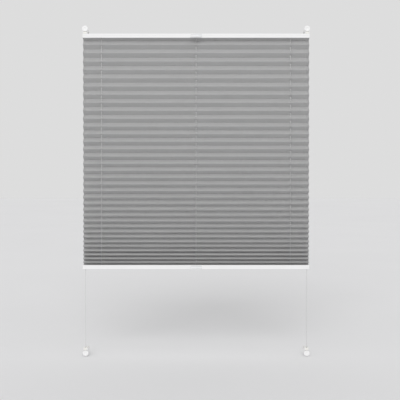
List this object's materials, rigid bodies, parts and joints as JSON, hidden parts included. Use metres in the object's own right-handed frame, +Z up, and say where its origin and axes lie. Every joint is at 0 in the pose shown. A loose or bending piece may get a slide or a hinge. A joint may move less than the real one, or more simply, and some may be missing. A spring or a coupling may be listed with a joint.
{
  "type": "pleated blind",
  "caption": "Pleated window blind between two slim rails that slide on tension cords held by clamp brackets at the corners of a window sash.",
  "frame": {"origin": "middle of the window sash's top edge, on its room-side face", "axes": "+X to the right as seen from the room, +Y into the window, +Z up"},
  "size_m": [0.8048, 0.0568, 1.1688],
  "materials": {
    "pleated_polyester": "woven grey polyester, pleated",
    "rail_aluminium": "white powder-coated extrusion",
    "cap_plastic": "moulded white ABS",
    "strip_plastic": "extruded PVC strip",
    "guide_plastic": "moulded white acetal",
    "handle_plastic": "translucent white, polished",
    "bracket_plastic": "moulded white nylon",
    "shoe_plastic": "moulded white acetal",
    "knob_plastic": "moulded white ABS, knurled rim",
    "screw_steel": "zinc-plated",
    "pad_rubber": "soft foam pad",
    "cord_polyester": "braided white polyester"
  },
  "bodies": {
    "brackets": {"top_left_clamp_body": "bracket_plastic", "top_left_body_pad": "pad_rubber", "top_left_tension_shoe": "shoe_plastic", "top_right_clamp_body": "bracket_plastic", "top_right_body_pad": "pad_rubber", "top_right_tension_shoe": "shoe_plastic", "bottom_left_clamp_body": "bracket_plastic", "bottom_left_body_pad": "pad_rubber", "bottom_left_tension_shoe": "shoe_plastic", "bottom_right_clamp_body": "bracket_plastic", "bottom_right_body_pad": "pad_rubber", "bottom_right_tension_shoe": "shoe_plastic", "left_cord": "cord_polyester", "middle_cord": "cord_polyester", "right_cord": "cord_polyester"},
    "top_rail": {"pleated_fabric": "pleated_polyester", "top_rail_profile": "rail_aluminium", "top_rail_left_cap": "cap_plastic", "top_rail_right_cap": "cap_plastic", "top_rail_strip": "strip_plastic", "top_rail_left_cord_guide": "guide_plastic", "top_rail_middle_cord_guide": "guide_plastic", "top_rail_right_cord_guide": "guide_plastic", "top_rail_handle": "handle_plastic"},
    "bottom_rail": {"bottom_rail_profile": "rail_aluminium", "bottom_rail_left_cap": "cap_plastic", "bottom_rail_right_cap": "cap_plastic", "bottom_rail_strip": "strip_plastic", "bottom_rail_left_cord_guide": "guide_plastic", "bottom_rail_middle_cord_guide": "guide_plastic", "bottom_rail_right_cord_guide": "guide_plastic", "bottom_rail_handle": "handle_plastic"},
    "top_left_screw": {"top_left_clamp_knob": "knob_plastic", "top_left_clamp_screw": "screw_steel"},
    "top_left_jaw": {"top_left_clamp_jaw": "bracket_plastic", "top_left_jaw_nut": "screw_steel", "top_left_jaw_pad": "pad_rubber"},
    "top_right_screw": {"top_right_clamp_knob": "knob_plastic", "top_right_clamp_screw": "screw_steel"},
    "top_right_jaw": {"top_right_clamp_jaw": "bracket_plastic", "top_right_jaw_nut": "screw_steel", "top_right_jaw_pad": "pad_rubber"},
    "bottom_left_screw": {"bottom_left_clamp_knob": "knob_plastic", "bottom_left_clamp_screw": "screw_steel"},
    "bottom_left_jaw": {"bottom_left_clamp_jaw": "bracket_plastic", "bottom_left_jaw_nut": "screw_steel", "bottom_left_jaw_pad": "pad_rubber"},
    "bottom_right_screw": {"bottom_right_clamp_knob": "knob_plastic", "bottom_right_clamp_screw": "screw_steel"},
    "bottom_right_jaw": {"bottom_right_clamp_jaw": "bracket_plastic", "bottom_right_jaw_nut": "screw_steel", "bottom_right_jaw_pad": "pad_rubber"}
  },
  "joints": [
    {"name": "top_rail_slide", "type": "slide", "parent": "brackets", "child": "top_rail", "axis": [0, 0, -1], "range_m": [0, 0.279], "deforming": ["left_cord", "middle_cord", "right_cord"]},
    {"name": "bottom_rail_slide", "type": "slide", "parent": "top_rail", "child": "bottom_rail", "axis": [0, 0, 1], "range_m": [-0.279, 0.75], "deforming": ["pleated_fabric"]},
    {"name": "top_left_screw_turn", "type": "hinge", "parent": "brackets", "child": "top_left_screw", "pos_m": [-0.392, -0.0146, 0.007], "axis": [0, 1, 0], "range_deg": [-3085, 2057]},
    {"name": "top_left_jaw_slide", "type": "slide", "parent": "brackets", "child": "top_left_jaw", "axis": [0, -1, 0], "range_m": [-0.006, 0.004]},
    {"name": "top_right_screw_turn", "type": "hinge", "parent": "brackets", "child": "top_right_screw", "pos_m": [0.392, -0.0146, 0.007], "axis": [0, 1, 0], "range_deg": [-3085, 2057]},
    {"name": "top_right_jaw_slide", "type": "slide", "parent": "brackets", "child": "top_right_jaw", "axis": [0, -1, 0], "range_m": [-0.006, 0.004]},
    {"name": "bottom_left_screw_turn", "type": "hinge", "parent": "brackets", "child": "bottom_left_screw", "pos_m": [-0.392, -0.0146, -1.141], "axis": [0, 1, 0], "range_deg": [-3085, 2057]},
    {"name": "bottom_left_jaw_slide", "type": "slide", "parent": "brackets", "child": "bottom_left_jaw", "axis": [0, -1, 0], "range_m": [-0.006, 0.004]},
    {"name": "bottom_right_screw_turn", "type": "hinge", "parent": "brackets", "child": "bottom_right_screw", "pos_m": [0.392, -0.0146, -1.141], "axis": [0, 1, 0], "range_deg": [-3085, 2057]},
    {"name": "bottom_right_jaw_slide", "type": "slide", "parent": "brackets", "child": "bottom_right_jaw", "axis": [0, -1, 0], "range_m": [-0.006, 0.004]}
  ],
  "couplings": [
    {"joint": "top_left_jaw_slide", "follows": "top_left_screw_turn", "m_per_rad": 0.00011141},
    {"joint": "top_right_jaw_slide", "follows": "top_right_screw_turn", "m_per_rad": 0.00011141},
    {"joint": "bottom_left_jaw_slide", "follows": "bottom_left_screw_turn", "m_per_rad": 0.00011141},
    {"joint": "bottom_right_jaw_slide", "follows": "bottom_right_screw_turn", "m_per_rad": 0.00011141}
  ]
}
